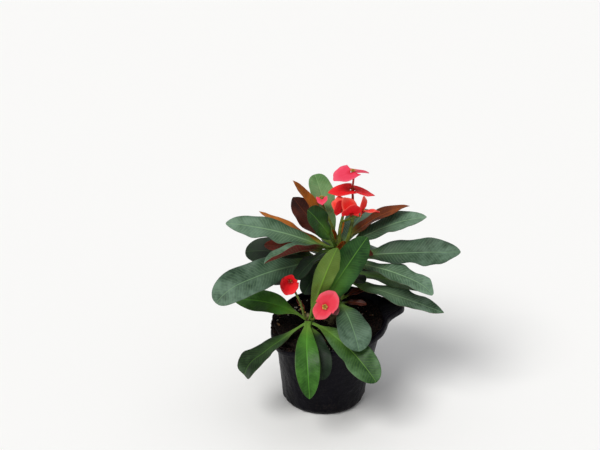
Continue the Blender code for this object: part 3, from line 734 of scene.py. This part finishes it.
def make_bract(name, flower, i, finishes, stands_for=()):
    side = (1, -1)[i]
    size = flower.sizes[i]
    sag = radians(flower.droops[i])
    turn = radians(flower.twists[i])
    bm = bmesh.new()
    where = bm.verts.layers.float_vector.new("bract_place")
    made = bmesh.ops.create_grid(bm, x_segments=16, y_segments=44, size=1.0)["verts"]
    seed = dice.uniform(0, 50)
    for vertex in made:
        share = BRACT_START + (1.0 - BRACT_START) * (vertex.co.x + 1.0) / 2
        around = vertex.co.y
        angle = radians(BRACT_SPREAD) * around
        point = 0.07 * bell(angle, 0.16) * share ** 3
        scallop = 0.012 * sin(9 * angle + seed) * share
        outline = 0.81 + 0.14 * cos(2 * angle) + 0.13 * cos(angle) + point + scallop
        radius = size * share * outline
        along = radius * cos(angle)
        across = side * radius * sin(angle)
        lift = BRACT_LIFT * share ** 2 * abs(sin(angle))
        frill = flower.frill * share ** 3 * sin(5 * angle + seed)
        dents = 0.35 * roughly((along, across, seed), 5.0)
        crease = -0.5 * bell(angle, 0.12) * share
        above = 0.6 * (1 - i)
        vertex.co = Vector((side * (BRACT_FOOT + along * cos(sag)), across * cos(turn),
                            lift + frill + dents + crease - along * sin(sag)
                            + across * sin(turn) + above))
        vertex[where] = Vector((share, around, seed))
    bmesh.ops.transform(bm, matrix=flower_frame(flower), verts=bm.verts)
    item = finish_piece("%s_petal_%d" % (name, i + 1), bm, finishes, stands_for)
    modify(item, "thickness", "SOLIDIFY", thickness=BRACT_THICKNESS * MM, offset=0.0,
           use_even_offset=False, material_offset=1)


CUP_PROFILE = [(0.0, -2.4), (1.2, -2.2), (1.7, -1.2), (2.1, 0.2), (2.3, 1.4), (2.1, 2.0),
               (1.6, 1.6), (1.2, 0.6), (0.0, 0.2)]  # (radius, height)
GLANDS = 5
GLAND_SIZE = (1.25, 1.35, 0.42)
STAMENS = 7


def make_heart(name, flower, finishes, stands_for=()):
    """The small true flower: a cup with glands around its mouth and stamens inside."""
    bm = bmesh.new()
    line = [bm.verts.new((r, 0, z)) for r, z in CUP_PROFILE]
    edges = [bm.edges.new(pair) for pair in zip(line, line[1:])]
    bmesh.ops.spin(bm, geom=line + edges, axis=(0, 0, 1), cent=(0, 0, 0), steps=20,
                   angle=2 * pi, use_merge=True)
    bmesh.ops.remove_doubles(bm, verts=bm.verts, dist=0.001)
    for i in range(GLANDS):
        turn = Matrix.Rotation(radians(360 / GLANDS * i + 20), 4, "Z")
        lobe = turn @ Matrix.Translation((2.3, 0, 1.9)) @ Matrix.Rotation(radians(-18), 4, "Y")
        before = len(bm.faces)
        bmesh.ops.create_uvsphere(bm, u_segments=14, v_segments=8, radius=1.0,
                                  matrix=lobe @ Matrix.Diagonal((*GLAND_SIZE, 1.0)))
        surface_new_faces(bm, before, 1)
    for i in range(STAMENS):
        lean = direction(GOLDEN_ANGLE * i, 81 - 5 * (i % 3))
        foot = Vector((0, 0, 0.4)) + lean * 0.2
        height = 2.2 + 0.35 * (i % 3)
        before = len(bm.faces)
        bmesh.ops.create_cone(bm, cap_ends=True, segments=6, radius1=0.16, radius2=0.12,
                              depth=height, matrix=standing(foot + lean * height / 2, lean))
        bmesh.ops.create_icosphere(bm, subdivisions=2, radius=0.36,
                                   matrix=Matrix.Translation(foot + lean * height))
        surface_new_faces(bm, before, 2)
    face_outwards(bm)
    bmesh.ops.transform(bm, matrix=flower_frame(flower), verts=bm.verts)
    finish_piece(name + "_heart", bm, finishes, stands_for)


def tapered(run, foot_radius):
    step = (STALK_TOP_RADIUS - foot_radius) / (len(run) - 1)
    return [(*point, foot_radius + step * i) for i, point in enumerate(run)]


def make_stalk(name, foot_radius, runs, finish):
    bm = bmesh.new()
    shoot = "main" if runs[0][0][2] > 180 else "front"
    start = Vector(runs[0][0])
    centre, _ = shoot_at(shoot, min(start.z - 3, SHOOTS[shoot][-1][2]))
    runs = [[tuple(centre.lerp(start, 0.4))] + runs[0]] + runs[1:]
    for i, run in enumerate(runs):
        foot = STALK_TOP_RADIUS if i else foot_radius
        add_sweep(bm, smooth_path(tapered(run, foot), 12), 16, 0.10)
    face_outwards(bm)
    finish_piece(name + "_green", bm, [finish], [name])


# -------- stem
SCAR_SPACING = 2.6
SCAR_SPANS = {"main": (112, 205), "right": (112, 146), "front": (106, 124)}  # (lowest, highest)
SCAR_SIZE = (1.9, 1.5, 0.9)
THORN_SPANS = {"main": (112, 206, 2.3), "right": (110, 148, 3.1), "front": (100, 126, 3.4)}
THORN_SHARES = (0, 0.1, 0.25, 0.45, 0.65, 0.85, 1.0)
THORN_RADIUS = 1.15
THORN_POINT = 0.07
SIDE_THORNS = 0.7  # length of the thorns on the thin shoots against the main ones
DRIED_SCALES = [(-27, -33, 139, 3.2), (-24, -34, 134, 2.4), (-29, -32, 143, 2.0)]  # (x, y, z, size)


def make_bark(finish):
    bm = bmesh.new()
    for shoot in SHOOTS.values():
        path = smooth_path(shoot, 14)
        x, y, z, radius = path[-1]
        dome = [(x, y, z + 1.5, radius * 0.8), (x, y, z + 2.6, radius * 0.3)]
        add_sweep(bm, path + dome, 28, 0.14)
    for shoot, (low, high) in SCAR_SPANS.items():
        for i in range(int((high - low) / SCAR_SPACING)):
            centre, radius = shoot_at(shoot, low + SCAR_SPACING * i)
            outward = direction(GOLDEN_ANGLE * i + 60, 4)
            scar = standing(centre + outward * (radius - 0.4), outward)
            bmesh.ops.create_uvsphere(bm, u_segments=12, v_segments=8, radius=1.0,
                                      matrix=scar @ Matrix.Diagonal((*SCAR_SIZE, 1.0)))
    face_outwards(bm)
    stem = finish_piece("stem_bark", bm, [finish], ["stem"])
    modify(stem, "grown_together", "REMESH", mode="VOXEL", voxel_size=0.75 * MM,
           use_smooth_shade=True)
    modify(stem, "soften", "SMOOTH", iterations=2, factor=0.5)


def make_thorns(finish):
    bm = bmesh.new()
    for shoot, (low, high, spacing) in THORN_SPANS.items():
        for i in range(int((high - low) / spacing)):
            centre, radius = shoot_at(shoot, low + spacing * i)
            outward = direction(GOLDEN_ANGLE * i + 20, 14 + 12 * dice.random())
            length = dice.uniform(6.0, 9.5) * (1.0 if shoot == "main" else SIDE_THORNS)
            bend = UP * dice.uniform(0.4, 1.2)
            foot = centre + outward * (radius - 0.8)
            path = [(*(foot + outward * (length * share) + bend * share * share),
                     THORN_RADIUS * (1 - share) ** 0.8 + THORN_POINT) for share in THORN_SHARES]
            add_sweep(bm, path, 8)
    face_outwards(bm)
    finish_piece("stem_thorns", bm, [finish])


def make_dried_scales(finish):
    bm = bmesh.new()
    for *place, size in DRIED_SCALES:
        add_lump(bm, Vector(place), size, (1.0, 0.42, 0.2), 2, 0.14)
    finish_piece("dried_scales", bm, [finish])


# -------- bag
def wall_point(level, heading, inset=0.0, step_out=0.0, step_up=0.0, dip=0.0):
    """Point on the bag's outer wall: level 0 is the base and 1 the rim."""
    h = radians(heading)
    ear_rise = max(0.0, level - BAG_EAR_FOOT) / (1.0 - BAG_EAR_FOOT)
    ear = BAG_EAR_REACH * bell(turned_away(heading, BAG_EAR_HEADING), BAG_EAR_SPREAD) * ear_rise
    creases = level * sum(depth * sin(waves * h + slant * level)
                          for waves, slant, depth in BAG_CREASES)
    radius = between(BAG_WALL, level) + ear + creases - inset + step_out
    rim = BAG_HEIGHT + BAG_RIM_TILT * cos(radians(heading - BAG_RIM_TILT_HEADING))
    lean = BAG_LEAN * level ** 2
    return Vector((lean + radius * cos(h), radius * sin(h), (rim - dip) * level + step_up))


BAG_SIDES = 168
BAG_LEVELS = 64
BASE_RINGS = (16, 24, 32, 39, 43, 45)
BASE_WAVES = 0.5  # height of the wrinkles under the bag
CUFF = [(0.5, 0.9), (1.3, 1.3), (2.2, 1.0), (2.9, 0.1), (3.3, -1.2), (3.5, -2.8), (3.4, -4.6),
        (3.1, -6.4)]  # steps out and up from the top edge, rolled outwards
DIP, DIP_HEADING, DIP_SPREAD = 15.0, 204, 38  # the rim sags on this side
FILM_INSET = 0.35
FILM_THICKNESS = 0.35
HEADINGS = [360.0 * i / BAG_SIDES for i in range(BAG_SIDES)]


def film_point(level, heading, step_out=0.0, step_up=0.0):
    """The wall with the small creases and dents of thin film."""
    h = radians(heading)
    dip = DIP * bell(turned_away(heading, DIP_HEADING), DIP_SPREAD) * ease((level - 0.4) / 0.6)
    place = wall_point(level, heading, FILM_INSET, step_out, step_up, dip)
    outward = Vector((cos(h), sin(h), 0))
    dents = roughly((place.x, place.y, place.z * 0.45), 20.0, 3.0) + roughly(place, 8.0, 7.0) * 0.3
    gathers = (0.55 * bell(level - 0.03, 0.05)
               * sin(23 * h + 4 * roughly((h * 3, 0, 0), 1.0)))
    strain = max(0.0, roughly((h * 7.0, level * 1.2, 2.0), 1.0)) ** 0.7
    long_creases = 0.45 * strain * ease(level * 4)
    grip = ease(level * 20) if step_out == 0 else 1.0
    return place + outward * ((dents - 0.4 + gathers + long_creases) * grip)


def ring_edges(bm, rim):
    return [bm.edges.get(pair) for pair in zip(rim, rim[1:] + rim[:1])]


def grow_ring(bm, rim, places):
    """Extrudes the open edge of a disc or wall to the given places, in the same order."""
    made = bmesh.ops.extrude_edge_only(bm, edges=ring_edges(bm, rim))["geom"]
    fresh = {v for v in made if isinstance(v, bmesh.types.BMVert)}
    grown = [next(e.other_vert(v) for e in v.link_edges if e.other_vert(v) in fresh) for v in rim]
    for vertex, place in zip(grown, places):
        vertex.co = place
    return grown


def start_disc(bm, radius, height):
    made = bmesh.ops.create_circle(bm, cap_ends=True, cap_tris=True, segments=BAG_SIDES,
                                   radius=radius)
    for vertex in made["verts"]:
        vertex.co.z = height
    rim = [v for v in made["verts"] if len(v.link_edges) == 3]
    return sorted(rim, key=lambda v: atan2(v.co.y, v.co.x) % (2 * pi))


def make_bag(finish):
    bm = bmesh.new()
    rim = start_disc(bm, 8.0, 0.5)
    for radius in BASE_RINGS:
        flat = 1 - ease((radius - 39) / 6)
        places = []
        for heading in HEADINGS:
            h = radians(heading)
            x, y = radius * cos(h), radius * sin(h)
            places.append(Vector((x, y, BASE_WAVES * (0.5 + 0.5 * roughly((x, y, 5), 9.0)) * flat)))
        rim = grow_ring(bm, rim, places)
    for i in range(1, BAG_LEVELS + 1):
        level = (i / BAG_LEVELS) ** 1.15
        rim = grow_ring(bm, rim, [film_point(level, heading) for heading in HEADINGS])
    for out, up in CUFF:
        places = []
        for heading in HEADINGS:
            h = radians(heading)
            uneven = 1.0 + 0.35 * roughly((cos(h) * 3, sin(h) * 3, 1.0), 1.0, 11.0)
            step_up = up if up > 0 else up * uneven
            places.append(film_point(1.0, heading, out * (0.75 + 0.35 * uneven), step_up))
        rim = grow_ring(bm, rim, places)
    face_outwards(bm)
    bag = finish_piece("grow_bag_film", bm, [finish], ["grow_bag"])
    modify(bag, "thickness", "SOLIDIFY", thickness=FILM_THICKNESS * MM, offset=1.0,
           use_even_offset=False)


# -------- potting mix
SOIL_RINGS = 40
HEAP, HEAP_HEADING, HEAP_SPREAD = 15.0, 190, 40  # the mix is heaped against the rim on this side
SPILL = 700  # crumbs past the rim there


def soil_top(heading, share):
    """Point on the mix: share 0 is its middle and 1 its edge."""
    spill = bell(turned_away(heading, HEAP_HEADING), HEAP_SPREAD)
    edge = wall_point(SOIL_LEVEL, heading, 1.4 - 4.5 * spill)
    middle = Vector((BAG_LEAN, 0.0, BAG_HEIGHT * SOIL_LEVEL + SOIL_CROWN))
    place = middle.lerp(edge, share)
    h = radians(heading)
    lump = sum(height * sin(waves * h + slant * share) for waves, slant, height in SOIL_LUMPS)
    place.z += lump * share * (1.0 - share / 2)
    heap = HEAP * spill * ease((share - 0.25) / 0.65)
    rough = roughly(place, 7.0, 5.0) * 1.6 + roughly(place, 2.6, 9.0) * 0.9
    place.z += heap + rough
    return place


def make_soil(finish):
    bm = bmesh.new()
    rim = start_disc(bm, 40.0, 4.0)
    for level in (0.08, 0.25, 0.5, 0.75, 0.88):
        rim = grow_ring(bm, rim, [wall_point(level, heading, 2.2) for heading in HEADINGS])
    for i in range(SOIL_RINGS):
        share = 1.0 - i / SOIL_RINGS
        rim = grow_ring(bm, rim, [soil_top(heading, share) for heading in HEADINGS])
    bmesh.ops.contextual_create(bm, geom=ring_edges(bm, rim))
    face_outwards(bm)
    finish_piece("potting_mix_bed", bm, [finish], ["potting_mix"])


def add_lump(bm, place, size, stretch, subdivisions=1, spread=0.35):
    turn = (Matrix.Rotation(dice.uniform(0, 6.28), 4, "Z")
            @ Matrix.Rotation(dice.uniform(-0.6, 0.6), 4, "X"))
    shape = Matrix.Translation(place) @ turn @ Matrix.Diagonal((*[size * s for s in stretch], 1.0))
    made = bmesh.ops.create_icosphere(bm, subdivisions=subdivisions, radius=1.0)["verts"]
    for vertex in made:
        vertex.co *= 1.0 + spread * (dice.random() - 0.5) * 2
    bmesh.ops.transform(bm, matrix=shape, verts=made)


def strew(bm, count, shares, draw_size, lift, widths, heights, *lumps):
    """Strews lumps over the top of the mix, lifted by a height and a share of their size."""
    for _ in range(count):
        heading = dice.uniform(0, 360)
        share = sqrt(dice.uniform(shares[0], 1.0)) * shares[1]
        size = draw_size()
        place = soil_top(heading, share) + UP * (lift[0] + size * lift[1])
        add_lump(bm, place, size, (1.0, dice.uniform(*widths), dice.uniform(*heights)), *lumps)


def make_crumbs(crumb, perlite, bark):
    bm = bmesh.new()
    strew(bm, 1500, (0.01, 0.99), lambda: dice.choice((0.5, 0.7, 0.9, 1.2, 1.7)), (0, 0.25),
          (0.6, 1.0), (0.5, 0.9))
    for _ in range(SPILL):
        heading = dice.gauss(203, 20)
        down = min(0.09, abs(dice.gauss(0, 0.04)))
        size = dice.choice((0.6, 0.9, 1.2, 1.6, 2.1))
        place = film_point(1.0 - down, heading, dice.uniform(-1.0, 3.4), 2.0)
        place.z += dice.uniform(0, 14.0) * (1 - down * 9) * bell(turned_away(heading, 196), 24)
        add_lump(bm, place, size, (1.0, dice.uniform(0.6, 1.0), dice.uniform(0.6, 1.0)))
    finish_piece("potting_mix_crumbs", bm, [crumb])

    bm = bmesh.new()
    strew(bm, 44, (0.05, 0.97), lambda: dice.uniform(0.7, 1.7), (0, 0.45), (0.7, 1.0), (0.6, 0.9),
          2, 0.14)
    finish_piece("perlite_grains", bm, [perlite])

    bm = bmesh.new()
    strew(bm, 34, (0.05, 0.95), lambda: dice.uniform(1.6, 4.2), (0.9, 0), (0.16, 0.34), (0.12, 0.2),
          2, 0.12)
    finish_piece("bark_chips", bm, [bark])


# -------- stage
FLOOR_HALF = 80.0  # metres
WORLD_STRENGTH = 0.30
# heading, rise, width of the light's disc in degrees, strength and tint
LAMPS = {
    "key": (-130, 52, 30, 2.2, (1.0, 0.99, 0.96)),
    "overhead": (60, 74, 60, 0.55, (0.97, 0.98, 1.0)),
}
CAMERA_PLACE = (-0.029375, -1.27071, 0.82425)
CAMERA_TILT = 65  # degrees up from straight down
CAMERA_LENS = 72


def make_stage():
    bm = bmesh.new()
    bmesh.ops.create_grid(bm, x_segments=1, y_segments=1, size=FLOOR_HALF)
    mesh = mesh_of("floor", bm)
    paper = Finish("floor_paper", 0.0, Base_Color=(0.94, 0.94, 0.94, 1), Roughness=0.9)
    mesh.materials.append(paper.material)
    put_in_scene("floor", mesh)

    world = bpy.data.worlds.new("studio")
    bpy.context.scene.world = world
    world.use_nodes = True
    light = world.node_tree.nodes["Background"].inputs
    light["Color"].default_value = (1.0, 1.0, 1.0, 1)
    light["Strength"].default_value = WORLD_STRENGTH
    for name, (heading, rise, softness, power, tint) in LAMPS.items():
        lamp = bpy.data.lights.new(name, "SUN")
        lamp.angle = radians(softness)
        lamp.energy = power
        lamp.color = tint
        holder = put_in_scene(name, lamp)
        towards = direction(heading, rise)
        holder.location = towards * 2
        holder.rotation_euler = towards.to_track_quat("Z", "Y").to_euler()

    camera = bpy.data.cameras.new("camera")
    camera.lens = CAMERA_LENS
    camera.sensor_width = 36
    camera.clip_start = 0.05
    camera.clip_end = 300
    holder = put_in_scene("camera", camera)
    holder.location = CAMERA_PLACE
    holder.rotation_euler = (radians(CAMERA_TILT), 0, 0)
    bpy.context.scene.camera = holder
    bpy.context.scene.view_settings.view_transform = "Standard"


def main():
    make_stage()
    make_bag(film_finish())
    make_soil(soil_finish("potting_mix", rgb("0a0706"), rgb("221713"), rgb("422e22")))
    make_crumbs(soil_finish("potting_mix_crumb", rgb("0a0706"), rgb("30201b"), rgb("543c2c")),
                grain_finish("perlite", rgb("80786e"), rgb("b2aca0"), 0.75),
                grain_finish("bark_chip", rgb("402a1c"), rgb("7a5a3c"), 0.7, 500))
    make_bark(bark_finish())
    make_thorns(grain_finish("thorn", rgb("463424"), rgb("806e54"), 0.42, 300, 3, (0.4, 0.6), 0.2,
                             0.4, (0.0004, 0.5)))
    make_dried_scales(grain_finish("dried_scale", rgb("966038"), rgb("cea06e"), 0.6, 700))
    leaf_finishes = {tone: leaf_finish(tone) for tone in LEAF_TONES}
    for kind, leaves in (LEAVES | SMALL_LEAVES).items():
        for i, leaf in enumerate(leaves):
            name = "%s_%02d" % (kind, i + 1)
            make_leaf(name, leaf, leaf_finishes[leaf.tone], [name] if kind in LEAVES else ())
    green = stalk_finish()
    for name, (foot_radius, runs) in STALKS.items():
        make_stalk(name, foot_radius, runs, green)
    faces = {tone: bract_finish(tone) for tone in BRACT_TONES}
    # the undersides of the flame bracts are scarlet
    bracts = {tone: [faces[tone], faces["scarlet" if tone == "flame" else tone]] for tone in faces}
    stamens = heart_finish("cup_stamen", rgb("d8b046"), rgb("b04624"))
    gold = [heart_finish("cup_green", rgb("848634"), rgb("606a22")),
            heart_finish("cup_gland", rgb("cea03e"), rgb("a87628")), stamens]
    red = [heart_finish("cup_red", rgb("961412"), rgb("700c0c")),
           heart_finish("gland_red", rgb("c43622"), rgb("961a14")), stamens]
    for name, flower in FLOWERS.items():
        for i in (0, 1):
            make_bract(name, flower, i, bracts[flower.tone], ["%s_bract_%d" % (name, i + 1)])
        hearts = red if flower.tone in ("scarlet", "flame") else gold
        make_heart(name, flower, hearts, [name + "_cup"])
    for i in (0, 1):
        make_bract("flower_shaded", SHADED_FLOWER, i, bracts["painted_shade_red"])
    make_heart("flower_shaded", SHADED_FLOWER, gold)


main()
